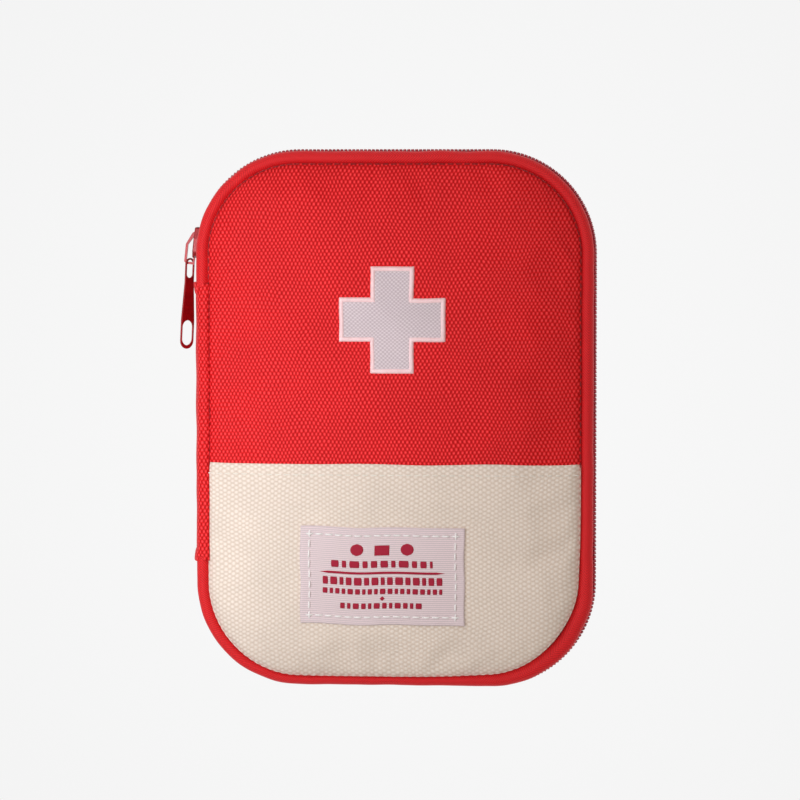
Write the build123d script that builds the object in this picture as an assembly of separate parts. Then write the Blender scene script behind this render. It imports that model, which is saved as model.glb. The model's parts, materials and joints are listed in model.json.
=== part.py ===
"""First aid kit: a soft zipped pouch that opens like a book, with its supplies inside.

The pouch lies on its back. X runs across it, with the spine at -X, Y runs up it and Z is its thickness.
The origin is the middle of the flat face that it rests on. Millimetres and degrees.
"""

import os
from math import cos, radians, sin

from build123d import *

# ---- driving dimensions of the pouch
WIDTH = 134.4           # across the zip coils
HEIGHT = 180.0          # along Y, across the zip coils
CORNER_R = 35.0         # at the outside of the zip coils
GUSSET = 19.6           # from the back seam to the front seam
CROWN = 3.4             # how far each padded panel stands out of its seam plane
SEAM_INSET = 4.6        # the seam line, inwards from the outside of the coils
PANEL_T = 0.7           # canvas
PADDING_T = 0.8         # padding inside the seam plane
LINING_T = 0.5
LINING_GAP = 0.2        # between the edge of a lining and the tape beside it

# ---- zip
TAPE_T = 0.6
TAPE_INSET = 2.2        # outer face of the tape beside the coil
COIL_HALF_W = 2.9       # from the middle of the zip to a coil's far edge
COIL_GAP = 0.45         # from the middle of the zip to a coil's near edge
SLIDER_L = 10.4
SLIDER_W = 8.2
SLIDER_PLATE_T = 0.7
SLIDER_GAP = 0.3        # between the slider's outer plate and the coils
SLIDER_ANGLE = 6.0      # where the slider is parked, round the first corner
BAIL_W = 1.2
BAIL_T = 0.8
BAIL_TOP = 3.85         # outside of the bail, above the coils
BAIL_TAIL = 2.3         # how far the bail reaches past the slider's tail
PULL_L = 30.6
PULL_T = 0.6
PULL_END_W = 5.7
PULL_EYE_W = 3.9
PULL_BAR = 0.6          # width of the metal round the pull's eye and its slot
PULL_TWIST = 40.0       # the pull hangs turned about its own length
PULL_LEAN = 2.6         # and leans away from the spine
NOTCH_CLEAR = 1.0       # round the parked slider, in the cover's half of the zip

# ---- spine
SPINE_T = 0.9
SPINE_TO_CORNER = 8.6    # straight zip between each end of the spine and the corner
SPINE_LINING_T = 0.4
SPINE_BULGE_INSET = 0.4  # outermost face of the spine
SPINE_SEAM_GAP = 0.45    # from each seam line to the edge of the spine
FOLD_L = 4.0             # folded ends of the spine, over the zip's ends
FOLD_T = 0.5
ZIP_END_GAP = 0.4        # between the spine and the zip's ends

# ---- outside of the cover
SPLIT_Y = -15.0          # where the cream canvas meets the red
CROSS_SIZE = 35.2
CROSS_ARM = 13.2
CROSS_Y = 33.5
BORDER_W = 1.25
PATCH_T = 0.8
BORDER_T = 1.3
LABEL_SIZE = (55.0, 33.0)
LABEL_AT = (-3.2, -51.7)
LABEL_TURN = -0.4
LABEL_T = 0.5
STITCH_INSET = 3.0
STITCH_L = 2.4
STITCH_PITCH = 3.5
STITCH_W = 0.45

# ---- inside
BINDING_W = 5.0
BINDING_T = 1.0
POCKET_T = 0.5
MESH_DEPTH = 5.8
MESH_TOP_Y = 6.0
SLIP_DEPTH = 5.2
SLIP_TOP_Y = -18.0
POCKET_INSET = 8.6
HEM_W = 6.0
HEM_T = 0.5
BAND_Y = 34.0
BAND_W = 18.0
BAND_T = 0.8
HELD_GAP = 0.1           # between what a band or pocket holds and the cloth round it

# ---- supplies
ROLL_W = 20.0            # a bandage roll is pressed a little flat by the pouch
ROLL_L = 50.0
ROLL_HEADROOM = 4.0      # left over a roll for the band and the cover
ROLL_X = (-26.5, -1.5)
TAPE_ROLL_R = 15.0
TAPE_CORE_R = 8.2
TAPE_CORE_BORE_R = 7.0
TAPE_ROLL_X = 28.5
TWEEZERS_X = -46.0
TWEEZERS_L = 84.0
TWEEZERS_W = 8.0
TWEEZERS_SPREAD = 4.6
TWEEZERS_T = 0.9
TWEEZERS_TAIL_Y = 64.0
GAUZE_SIZE = (46.0, 44.0, 1.7)
GAUZE_COUNT = 2
WIPE_SIZE = (42.0, 50.0, 1.1)
WIPE_COUNT = 3
PLASTER_SIZE = (19.0, 66.0, 0.8)
PLASTER_COUNT = 4
STACK_GAP = 0.05

# ---- places worked out from the sizes
THICKNESS = GUSSET + 2 * CROWN
MID_Z = THICKNESS / 2
BACK_SEAM_Z = CROWN
SEAM_X = -WIDTH / 2 + SEAM_INSET
SPINE_L = HEIGHT - 2 * CORNER_R - 2 * SPINE_TO_CORNER
CORNER_CENTRE = (-WIDTH / 2 + CORNER_R, HEIGHT / 2 - CORNER_R)
FLOOR_Z = BACK_SEAM_Z + PADDING_T + LINING_T      # inner face of the back lining
CEILING_Z = THICKNESS - FLOOR_Z                   # inner face of the front lining
ROLL_H = CEILING_Z - FLOOR_Z - ROLL_HEADROOM
TAPE_ROLL_H = ROLL_H - 0.5
POCKET_FOOT_Y = -HEIGHT / 2 + POCKET_INSET
LINING_INSET = SEAM_INSET + SPINE_T + SPINE_LINING_T + LINING_GAP
# The crown rises from the seam in three slopes: (inwards from the seam, share of the crown).
CROWN_STEPS = ((0.0, 0.0), (3.0, 0.5), (8.4, 0.85), (15.4, 1.0))
# The tape curves from the seam out to the coil: (share of the way out, share of the way to the middle).
TAPE_STEPS = ((0.0, 0.0), (0.67, 0.225), (1.0, 0.53))

os.makedirs("parts", exist_ok=True)


def save(name, *shapes):
    """Writes one node, which may be several separate solids."""
    solids = [solid for shape in shapes for solid in shape.solids()]
    node = solids[0] if len(solids) == 1 else Compound(solids)
    node.label = name
    export_step(node, f"parts/{name}.step")


def outline(inset):
    """The pouch's rounded outline, this far inside the outside of the coils."""
    return RectangleRounded(WIDTH - 2 * inset, HEIGHT - 2 * inset, CORNER_R - inset)


def stack(levels):
    """A solid through rounded outlines, from (inset, z) pairs."""
    return loft([Pos(0, 0, z) * outline(inset) for inset, z in levels], ruled=True)


def slab(inset, z_low, z_high):
    return Pos(0, 0, z_low) * extrude(outline(inset), z_high - z_low)


def block(x, y, z):
    """A box from three (low, high) pairs."""
    size = [high - low for low, high in (x, y, z)]
    middle = [(high + low) / 2 for low, high in (x, y, z)]
    return Pos(*middle) * Box(*size)


def to_front(shape):
    """The same thing on the cover: mirrored about the middle of the thickness."""
    return Pos(0, 0, MID_Z) * mirror(Pos(0, 0, -MID_Z) * shape, about=Plane.XY)


# ---- padded panels, made for the back and mirrored for the cover

def crown(skin):
    """The padded dome under the back seam, with everything outside this skin taken off."""
    levels = [
        (SEAM_INSET + inwards + skin, BACK_SEAM_Z - share * (CROWN - skin))
        for inwards, share in CROWN_STEPS
    ]
    return stack(levels)


def back_panel():
    return crown(0) - crown(PANEL_T)


def back_padding():
    return crown(PANEL_T) + slab(LINING_INSET, BACK_SEAM_Z, BACK_SEAM_Z + PADDING_T)


def back_lining():
    return slab(LINING_INSET, BACK_SEAM_Z + PADDING_T, FLOOR_Z)


def front_canvas():
    """The cover's canvas, as its red part above the split and its cream part below it."""
    canvas = to_front(back_panel())
    reach = (-WIDTH, WIDTH)
    deep = (0, 2 * THICKNESS)
    red = canvas & block(reach, (SPLIT_Y, HEIGHT), deep)
    cream = canvas & block(reach, (-HEIGHT, SPLIT_Y), deep)
    return red, cream


# ---- zip

def zip_only(ring):
    """Takes the spine's length out of a ring that runs right round the pouch."""
    half = SPINE_L / 2 + ZIP_END_GAP
    return ring - block((-WIDTH, SEAM_X + CORNER_R / 2), (-half, half), (-THICKNESS, 2 * THICKNESS))


def back_tape():
    """The back half of the zip tape, from the back seam to the middle of the thickness."""
    out = SEAM_INSET - TAPE_INSET
    levels = [
        (SEAM_INSET - share_out * out, BACK_SEAM_Z + share_up * GUSSET / 2)
        for share_out, share_up in TAPE_STEPS
    ]
    levels.append((TAPE_INSET, MID_Z - COIL_GAP))
    inner = [(inset + TAPE_T, z) for inset, z in levels]
    return zip_only(stack(levels) - stack(inner))


def back_coil():
    low, high = MID_Z - COIL_HALF_W, MID_Z - COIL_GAP
    return zip_only(slab(0, low, high) - slab(TAPE_INSET, low, high))


def slider_room():
    """The space kept clear round the parked slider, in the cover's half of the zip."""
    reach = SLIDER_L / 2 + NOTCH_CLEAR
    height = SLIDER_W / 2 + NOTCH_CLEAR
    room = extrude(Rectangle(2 * reach, 2 * height), SEAM_INSET + PULL_T, both=True)
    above_middle = block((-WIDTH, WIDTH), (-HEIGHT, HEIGHT), (MID_Z, 2 * THICKNESS))
    return (slider_plane() * room) & above_middle


def back_binding():
    """The tape that binds the seam's raw edges, inside the pouch and all the way round."""
    inset = LINING_INSET + LINING_GAP
    return slab(inset, FLOOR_Z, FLOOR_Z + BINDING_W) - slab(inset + BINDING_T, FLOOR_Z, FLOOR_Z + BINDING_W)


def slider_plane():
    """On the coils' outer face at the parked slider: X along the zip, Z out of the pouch."""
    angle = radians(SLIDER_ANGLE)
    outwards = Vector(-cos(angle), sin(angle), 0)
    along = Vector(sin(angle), cos(angle), 0)
    centre = Vector(*CORNER_CENTRE, MID_Z)
    return Plane(origin=centre + outwards * CORNER_R, x_dir=along, z_dir=outwards)


def slider_body():
    """Two shield-shaped plates and the post between them, with flanges that keep the coils in."""
    half_l, half_w = SLIDER_L / 2, SLIDER_W / 2
    shield = Polygon(
        (-half_l, -half_w * 0.66),
        (-half_l * 0.6, -half_w),
        (half_l * 0.25, -half_w),
        (half_l, -half_w * 0.8),
        (half_l, half_w * 0.8),
        (half_l * 0.25, half_w),
        (-half_l * 0.6, half_w),
        (-half_l, half_w * 0.66),
        align=None,
    )
    shield = fillet(shield.vertices(), 0.8)
    flange_w = half_w - COIL_HALF_W - SLIDER_GAP
    flange_depth = TAPE_INSET - 0.45
    inner_top = -(TAPE_INSET + TAPE_T + 0.7)
    plate = extrude(shield, SLIDER_PLATE_T)
    plate = fillet(plate.faces().sort_by(Axis.Z)[-1].edges(), 0.45)
    outer = Pos(0, 0, SLIDER_GAP) * plate
    inner = Pos(0, 0, inner_top) * mirror(plate, about=Plane.XY)
    flange_area = shield - Rectangle(2 * SLIDER_L, SLIDER_W - 2 * flange_w)
    flanges = Pos(0, 0, -flange_depth) * extrude(flange_area, flange_depth + SLIDER_GAP)
    post_t = 2 * (COIL_GAP - 0.2)
    post = Pos(-half_l * 0.55, 0, (inner_top + SLIDER_GAP) / 2) * Box(3.0, post_t, SLIDER_GAP - inner_top)
    return slider_plane() * (outer + inner + flanges + post)


def slider_bail():
    """The loop on the slider that carries the pull. It reaches past the slider's tail."""
    foot = SLIDER_GAP + SLIDER_PLATE_T
    tail = -SLIDER_L / 2
    rear = tail - BAIL_TAIL
    tongue_low, tongue_high = SLIDER_GAP + 0.05, SLIDER_GAP + 0.55
    ceiling = BAIL_TOP - BAIL_T
    loop = Polygon(
        (3.9, foot), (3.1, foot + 1.0), (-0.8, BAIL_TOP), (rear + 0.8, BAIL_TOP), (rear, BAIL_TOP - 0.9),
        (rear, tongue_low), (tail, tongue_low), (tail, foot),
        align=None,
    )
    loop = fillet(loop.vertices().filter_by(lambda v: v.Y > foot + 0.5), 0.6)
    hole = Polygon(
        (2.5, foot), (-1.0, ceiling), (rear + BAIL_T + 0.3, ceiling), (rear + BAIL_T, ceiling - 0.3),
        (rear + BAIL_T, tongue_high), (tail, tongue_high), (tail, foot),
        align=None,
    )
    side = Plane.XZ * (loop - hole)
    return slider_plane() * extrude(side, BAIL_W / 2, both=True)


def pull_place():
    """Where the pull's eye hangs in the bail: X down the pull, Z out of the pouch."""
    at = slider_plane().from_local_coords(Vector(-SLIDER_L / 2 - 0.5, 0, BAIL_TOP / 2 + 0.03))
    lean = radians(PULL_LEAN)
    return Plane(origin=at, x_dir=Vector(-sin(lean), -cos(lean), 0), z_dir=Vector(-cos(lean), sin(lean), 0))


def pull_tab():
    """A long flat pull: an eye round the bail, a body that widens, and a long slot at its round end."""
    half_bar = PULL_BAR / 2
    eye_half, end_half = PULL_EYE_W / 2, PULL_END_W / 2
    tail = PULL_L - half_bar
    head_x, end_x = eye_half - half_bar, tail - end_half
    shape = Polygon(
        (head_x, -eye_half), (8.0, -eye_half), (end_x - 7.0, -end_half), (end_x, -end_half),
        (end_x, end_half), (end_x - 7.0, end_half), (8.0, eye_half), (head_x, eye_half),
        align=None,
    )
    shape += Pos(head_x, 0) * Circle(eye_half)
    shape += Pos(end_x, 0) * Circle(end_half)
    eye_l, slot_l, end_bar = 6.1, 8.4, 1.2
    eye = Pos(half_bar + eye_l / 2, 0) * SlotOverall(eye_l, PULL_EYE_W - 2 * PULL_BAR)
    slot = Pos(tail - end_bar - slot_l / 2, 0) * SlotOverall(slot_l, PULL_END_W - 2 * PULL_BAR)
    body = extrude(shape - eye - slot, PULL_T / 2, both=True)
    body = chamfer(body.faces().filter_by(Axis.Z).edges(), 0.12)
    return pull_place() * (Rot(PULL_TWIST, 0, 0) * body)


# ---- spine

def spine_band(outer_t, inner_t):
    """A curved band from seam to seam, between two depths under the spine's outer face."""
    half = GUSSET / 2 - SPINE_SEAM_GAP
    out = SEAM_INSET - SPINE_BULGE_INSET

    def arc(depth):
        return ThreePointArc((SEAM_X + depth, -half), (SEAM_X - out + depth, 0), (SEAM_X + depth, half))

    first, second = arc(outer_t), arc(inner_t)
    ends = Line(first @ 0, second @ 0) + Line(first @ 1, second @ 1)
    section = make_face(first + second + ends)
    across = Plane(origin=(0, -SPINE_L / 2, MID_Z), x_dir=(1, 0, 0), z_dir=(0, -1, 0))
    return extrude(across * section, -SPINE_L)


def spine_folds():
    """The spine's ends, folded back over the zip's ends."""
    band = spine_band(-FOLD_T, 0)
    low, high = SPINE_L / 2 - FOLD_L, SPINE_L / 2
    keep_z = (MID_Z - GUSSET * 0.42, MID_Z + GUSSET * 0.42)
    return [band & block((-WIDTH, 0), span, keep_z) for span in ((low, high), (-high, -low))]


# ---- patches on the cover

def cross_sketch(grow):
    size, arm = CROSS_SIZE + 2 * grow, CROSS_ARM + 2 * grow
    return Rectangle(size, arm) + Rectangle(arm, size)


def cross_patch():
    return Pos(0, CROSS_Y, THICKNESS) * extrude(cross_sketch(-BORDER_W), PATCH_T)


def cross_border():
    frame = extrude(cross_sketch(0) - cross_sketch(-BORDER_W), BORDER_T)
    frame = fillet(frame.faces().sort_by(Axis.Z)[-1].edges(), BORDER_W * 0.4)
    return Pos(0, CROSS_Y, THICKNESS) * frame


def label_place(z):
    return Pos(*LABEL_AT, z) * Rot(0, 0, LABEL_TURN)


def label():
    return label_place(THICKNESS) * extrude(RectangleRounded(*LABEL_SIZE, 0.4), LABEL_T)


def label_stitches():
    """Stitches in a rectangle, inside the label's edge."""
    stitches = []
    half_x, half_y = (side / 2 - STITCH_INSET for side in LABEL_SIZE)
    for half_run, half_off, turn in ((half_x, half_y, 0), (half_y, half_x, 90)):
        count = int(2 * half_run / STITCH_PITCH)
        for side in (-1, 1):
            for index in range(count):
                along = (index - (count - 1) / 2) * STITCH_PITCH
                place = Rot(0, 0, turn) * Pos(along, side * half_off, STITCH_W / 2)
                stitches.append(label_place(THICKNESS + LABEL_T) * place * Box(STITCH_L, STITCH_W, STITCH_W))
    return stitches


# ---- pockets and band

def pocket(top_y, depth):
    """A shallow cloth tray on the back lining, open at its top edge."""
    below = block((-WIDTH, WIDTH), (-HEIGHT, top_y), (FLOOR_Z, FLOOR_Z + depth))
    inner = slab(POCKET_INSET + POCKET_T, FLOOR_Z, FLOOR_Z + depth - POCKET_T)
    return (slab(POCKET_INSET, FLOOR_Z, FLOOR_Z + depth) & below) - inner


def pocket_hem(top_y, depth):
    """The binding along a pocket's top edge, on the outside of its cloth."""
    half = WIDTH / 2 - POCKET_INSET - 1.0
    low = FLOOR_Z + depth
    return block((-half, half), (top_y - HEM_W, top_y), (low, low + HEM_T))


def roll_section(x, grow):
    return Pos(x, FLOOR_Z + HELD_GAP + ROLL_H / 2) * Ellipse(ROLL_W / 2 + grow, ROLL_H / 2 + grow)


def boxed_section(x, width, height, grow):
    """The cross-section of something square-edged that lies on the lining."""
    shape = RectangleRounded(width + 2 * grow, height + 2 * grow, 0.1 + grow)
    return Pos(x, FLOOR_Z + HELD_GAP + height / 2) * shape


def arches(grow):
    """An arch over everything that the elastic band holds, grown all round and open at the lining."""
    held = [(roll_section(x, grow), x, ROLL_W, ROLL_H) for x in ROLL_X]
    for x, width, height in (
        (TAPE_ROLL_X, 2 * TAPE_ROLL_R, TAPE_ROLL_H),
        (TWEEZERS_X, TWEEZERS_W, TWEEZERS_SPREAD),
    ):
        held.append((boxed_section(x, width, height, grow), x, width, height))
    return [
        section + Pos(x, FLOOR_Z + height / 4) * Rectangle(width + 2 * grow, height / 2)
        for section, x, width, height in held
    ]


def run_along(section, middle_y, length):
    """A cross-section of the pouch run out along Y."""
    across = Plane(origin=(0, middle_y + length / 2, 0), x_dir=(1, 0, 0), z_dir=(0, -1, 0))
    return extrude(across * section, length)


def elastic_band():
    """One strip of elastic, sewn down between the things that it holds."""
    half = WIDTH / 2 - POCKET_INSET - 4.0
    band = Pos(0, FLOOR_Z + BAND_T / 2) * Rectangle(2 * half, BAND_T)
    for arch in arches(HELD_GAP + BAND_T):
        band += arch
    band &= Pos(0, FLOOR_Z + THICKNESS / 2) * Rectangle(WIDTH, THICKNESS)
    for hollow in arches(HELD_GAP):
        band -= hollow
    return run_along(band, BAND_Y, BAND_W)


# ---- supplies

def tweezers():
    """One piece of spring steel: two arms, wide at the tail and narrow at the tips."""
    low = FLOOR_Z + HELD_GAP
    inner_top = TWEEZERS_SPREAD - TWEEZERS_T
    side = Polygon(
        (0, 0), (TWEEZERS_L, 0), (TWEEZERS_L, TWEEZERS_SPREAD), (0, TWEEZERS_SPREAD / 2 + TWEEZERS_T),
        align=None,
    )
    gap = Polygon(
        (6.0, TWEEZERS_T), (TWEEZERS_L, TWEEZERS_T), (TWEEZERS_L, inner_top), (6.0, TWEEZERS_SPREAD / 2),
        align=None,
    )
    upright = Plane(origin=(TWEEZERS_X, TWEEZERS_TAIL_Y, low), x_dir=(0, -1, 0), z_dir=(-1, 0, 0))
    arms = extrude(upright * (side - gap), TWEEZERS_W / 2, both=True)
    half, tip, shoulder = TWEEZERS_W / 2, 0.7, TWEEZERS_L * 0.55
    plan = Polygon(
        (-half, 0), (half, 0), (half, -shoulder), (tip, -TWEEZERS_L), (-tip, -TWEEZERS_L), (-half, -shoulder),
        align=None,
    )
    return arms & (Pos(TWEEZERS_X, TWEEZERS_TAIL_Y, low) * extrude(plan, TWEEZERS_SPREAD, both=True))


def flat_ring(outer_r, inner_r):
    """A ring of the tape roll, which lies on its side under the band."""
    ring = extrude(Circle(outer_r) - Circle(inner_r), TAPE_ROLL_H)
    return Pos(TAPE_ROLL_X, BAND_Y, FLOOR_Z + HELD_GAP) * ring


def stack_of(size, count, x, above_foot, z, step_y):
    """Flat packets lying on each other in a pocket, each a little further up the pouch."""
    packets = []
    for index in range(count):
        low = z + index * (size[2] + STACK_GAP)
        middle_y = POCKET_FOOT_Y + above_foot + size[1] / 2 + index * step_y
        packet = Box(*size, align=(Align.CENTER, Align.CENTER, Align.MIN))
        packet = fillet(packet.edges().filter_by(Axis.Z), 1.0)
        packets.append(Pos(x, middle_y, low) * packet)
    return packets


def main():
    for name, make in (
        ("panel", back_panel),
        ("padding", back_padding),
        ("lining", back_lining),
        ("zip_tape", back_tape),
        ("zip_coil", back_coil),
        ("seam_binding", back_binding),
    ):
        shape = make()
        save(f"back_{name}", shape)
        if name == "panel":
            continue
        front = to_front(shape)
        if name.startswith("zip"):
            front = front - slider_room()
        save(f"front_{name}", front)
    red, cream = front_canvas()
    save("front_panel_upper", red)
    save("front_panel_lower", cream)

    save("spine_panel", spine_band(0, SPINE_T))
    save("spine_lining", spine_band(SPINE_T, SPINE_T + SPINE_LINING_T))
    save("spine_end_folds", *spine_folds())

    save("slider_body", slider_body())
    save("slider_bail", slider_bail())
    save("pull_tab", pull_tab())

    save("cross_patch", cross_patch())
    save("cross_border", cross_border())
    save("label", label())
    save("label_stitches", *label_stitches())

    save("slip_pocket", pocket(SLIP_TOP_Y, SLIP_DEPTH))
    save("slip_pocket_hem", pocket_hem(SLIP_TOP_Y, SLIP_DEPTH))
    save("mesh_pocket", to_front(pocket(MESH_TOP_Y, MESH_DEPTH)))
    save("mesh_pocket_hem", to_front(pocket_hem(MESH_TOP_Y, MESH_DEPTH)))
    save("elastic_band", elastic_band())

    for side, x in zip(("left", "right"), ROLL_X):
        save(f"bandage_roll_{side}", run_along(roll_section(x, 0), BAND_Y, ROLL_L))
    save("tweezers", tweezers())
    save("adhesive_tape", flat_ring(TAPE_ROLL_R, TAPE_CORE_R))
    save("tape_core", flat_ring(TAPE_CORE_R, TAPE_CORE_BORE_R))
    save("gauze_pads", *stack_of(GAUZE_SIZE, GAUZE_COUNT, -27.0, 11.4, FLOOR_Z, 3.0))
    save("antiseptic_wipes", *stack_of(WIPE_SIZE, WIPE_COUNT, 24.0, 20.4, FLOOR_Z, 3.0))
    plasters = stack_of(PLASTER_SIZE, PLASTER_COUNT, -26.0, 12.4, FLOOR_Z, 2.5)
    save("plasters", *[to_front(plaster) for plaster in plasters])


main()
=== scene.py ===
"""First aid kit: the looks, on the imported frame.

The script works in millimetres in the frame's own axes and scales to metres as each mesh is made.
X runs across the pouch from its spine at -X, Y runs up its front and Z is its thickness.
"""

import json
import math

import bmesh
import bpy
import numpy as np
from mathutils import Matrix, Vector, noise
from mathutils.bvhtree import BVHTree


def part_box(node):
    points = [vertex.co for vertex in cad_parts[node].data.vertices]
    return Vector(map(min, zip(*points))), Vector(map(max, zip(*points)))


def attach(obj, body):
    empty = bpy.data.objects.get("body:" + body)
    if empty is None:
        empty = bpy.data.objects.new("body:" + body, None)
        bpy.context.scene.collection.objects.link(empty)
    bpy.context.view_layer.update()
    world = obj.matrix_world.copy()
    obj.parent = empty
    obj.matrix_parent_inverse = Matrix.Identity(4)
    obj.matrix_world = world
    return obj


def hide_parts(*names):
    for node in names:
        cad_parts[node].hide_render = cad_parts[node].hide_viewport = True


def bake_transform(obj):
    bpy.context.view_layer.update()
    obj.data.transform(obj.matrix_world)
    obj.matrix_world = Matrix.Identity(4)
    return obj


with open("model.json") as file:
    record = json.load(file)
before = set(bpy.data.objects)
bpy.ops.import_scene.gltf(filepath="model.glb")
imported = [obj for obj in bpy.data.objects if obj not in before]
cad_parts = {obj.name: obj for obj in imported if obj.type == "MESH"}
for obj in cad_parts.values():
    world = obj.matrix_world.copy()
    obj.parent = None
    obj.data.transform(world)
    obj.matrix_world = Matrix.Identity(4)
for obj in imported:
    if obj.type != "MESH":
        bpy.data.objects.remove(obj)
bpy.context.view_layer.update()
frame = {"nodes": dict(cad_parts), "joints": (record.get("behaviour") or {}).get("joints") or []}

MM = 0.001
TAU = 2 * math.pi


def box_mm(node):
    low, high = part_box(node)
    return np.array(low) / MM, np.array(high) / MM


# ---- sizes read from the frame
HALF_W, HALF_H = box_mm("back_zip_coil")[1][:2]
FRONT_LOW, FRONT_HIGH = box_mm("front_panel_upper")
SEAM_INSET = HALF_W - box_mm("back_panel")[1][0]
FRONT_SEAM_Z, TOP_Z = FRONT_LOW[2], FRONT_HIGH[2]
MID_Z = TOP_Z / 2
CROWN = TOP_Z - FRONT_SEAM_Z
SPLIT_Y = FRONT_LOW[1]
SPINE_HALF_L = box_mm("spine_panel")[1][1]
FLOOR_Z = box_mm("back_lining")[1][2]
CEILING_Z = box_mm("front_lining")[0][2]
LINING_INSET = HALF_W - box_mm("back_lining")[1][0]
JOINTS = {joint["name"]: joint for joint in frame["joints"]}
CORNER_AT = np.array(JOINTS["slider_travel"]["pos_m"]) / MM
CORNER_R = CORNER_AT[0] + HALF_W

# ---- sizes of the panels and the zip
DOME = 1.5               # the front and back swell this much more in the middle than the solids
ROLLED_W = 18.0          # a panel rises to its full height over this width
CREASE = 1.5             # depth of the furrow along the front seam
CREASE_W = 1.05
SKIRT_DROP = 0.7         # a panel's sewn edge goes on down into the seam
WEAVE = (1.34, 1.18)     # threads of the canvas, across and along
SWELL_PUSH = 3.0         # of the padding on the canvas
SWELL_CAP = 0.9          # the padding lifts the canvas by no more than this
SEAM_STITCH_PITCH = 2.7
SEAM_STITCH_INSET = 0.5  # inwards from the seam
SEAM_STITCH = (2.1, 0.42, 0.16)      # length, width and height of a stitch
SPLIT_STITCH_PITCH = 2.9
SPLIT_STITCH_DOWN = 3.1      # below the cream canvas's folded edge
SPLIT_STITCH = (2.1, 0.36, 0.16)
TAPE_SHOWN_T = 0.45
COIL_PITCH = 1.32
COIL_WIRE_R = 0.34
COIL_RADII = (0.75, 1.35)    # of a loop, across the tape's edge and up
SLIDER_ANGLE = 6.0       # where the slider is parked, round the first corner
NOTCH_HALF_L = 5.7       # the cover's half of the zip is left out this far each side of the slider
NOTCH_Z = 4.6            # over the middle: where the left-out part begins
SPINE_SHIFT = -1.3       # the spine is sewn on this far off the middle
SPINE_T = 0.5
SPINE_INNER_T = 0.25
SPINE_INNER_DEPTH = 1.0
ZIP_GAP = 0.15           # between the spine and the first loop of the zip
TAPE_TUCK = 1.6          # of the zip tape, hidden under each end of the spine
TAPE_STEP = 1.5          # between the tape's rows of points

# ---- sizes of the patches, the inside and the supplies
CROSS_ARM_SHARE = 0.374  # of the cross's size
CROSS_T = 0.6
BORDER_W = 1.5
BORDER_STEP = 0.14
BORDER_TURN_R = 0.75     # of the border's middle line at each corner
LABEL_HALF = (27.4, 16.3)
LABEL_TURN = -0.4
LABEL_T = 0.28
LABEL_STITCH_INSET = (3.0, 2.7)
LABEL_STITCH_PITCH = 3.1
LABEL_STITCH = (2.5, 0.62, 0.34)
MARK_STEP = 0.5
MARK_T = 0.1
LINING_T = 0.2
POCKET_T = 0.25
HEM_T = 0.3
NET_CELLS = (28, 38)     # up and across
NET_STRAND = 0.36
ROLL_TURNS = 15
ROLL_LAYER_T = 0.42
PACKET_CRIMP = 3.0
PACKET_PUFF = 0.8
BARS_SHARE = 0.6         # of a packet's width

# ---- sizes and lights of the studio
FLOOR_HALF = 4000.0
FLOOR_DROP = 0.3
WORLD_COLOUR = (1.0, 0.97, 0.93, 1)
WORLD_STRENGTH = 0.39
CAMERA_DISTANCE = 1250.0
SHOWN_WIDTH = 268.4          # across the picture, at the pouch
SENSOR_WIDTH = 36.0
CAMERA_TARGET = (1.3, 6.0)
CAMERA_TURNS = (5.0, 3.5)    # from straight above: to the right and up the pouch


# ---- geometry helpers

def piece(name, points, faces, material, body, uv=None):
    """A mesh object from points in millimetres, which rides on a body."""
    mesh = bpy.data.meshes.new(name)
    faces = [list(map(int, face)) for face in faces]
    mesh.from_pydata((np.asarray(points, float) * MM).tolist(), [], faces)
    if uv is not None:
        layer = mesh.uv_layers.new(name="UVMap")
        corner_vertex = np.zeros(len(mesh.loops), int)
        mesh.loops.foreach_get("vertex_index", corner_vertex)
        layer.data.foreach_set("uv", np.asarray(uv, np.float32)[corner_vertex].ravel())
    mesh.polygons.foreach_set("use_smooth", [True] * len(mesh.polygons))
    mesh.materials.append(MATERIALS[material])
    made = bpy.data.objects.new(name, mesh)
    bpy.context.scene.collection.objects.link(made)
    if body:
        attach(made, body)
    return made


def grid_faces(rows, columns, loop_rows=False, loop_columns=False, flip=False):
    """Quads over a grid of points that is stored row by row."""
    row = np.arange(rows if loop_rows else rows - 1)
    column = np.arange(columns if loop_columns else columns - 1)
    r, c = (a.ravel() for a in np.meshgrid(row, column, indexing="ij"))
    r2, c2 = (r + 1) % rows, (c + 1) % columns
    quads = np.stack([r * columns + c, r * columns + c2, r2 * columns + c2, r2 * columns + c], 1)
    return quads[:, ::-1] if flip else quads


def grid_piece(name, grid, material, body, uv=None, flip=False, loop_rows=False):
    """A mesh object from a grid of points, with quads between them."""
    faces = grid_faces(*grid.shape[:2], loop_rows=loop_rows, flip=flip)
    flat_uv = None if uv is None else uv.reshape(-1, 2)
    return piece(name, grid.reshape(-1, 3), faces, material, body, flat_uv)


def crossed(rows, columns):
    """The row's and the column's value at each point of a grid."""
    return np.meshgrid(rows, columns, indexing="ij")


def add_thickness(made, thickness, offset=-1.0):
    modifier = made.modifiers.new("Thickness", "SOLIDIFY")
    modifier.thickness = thickness * MM
    modifier.offset = offset


def add_subdivision(made):
    modifier = made.modifiers.new("Smooth", "SUBSURF")
    modifier.levels = modifier.render_levels = 1


def add_bevel(made, width):
    modifier = made.modifiers.new("Edges", "BEVEL")
    modifier.width = width * MM
    modifier.segments = 2
    modifier.limit_method = "ANGLE"
    modifier.angle_limit = math.radians(40)


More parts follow.
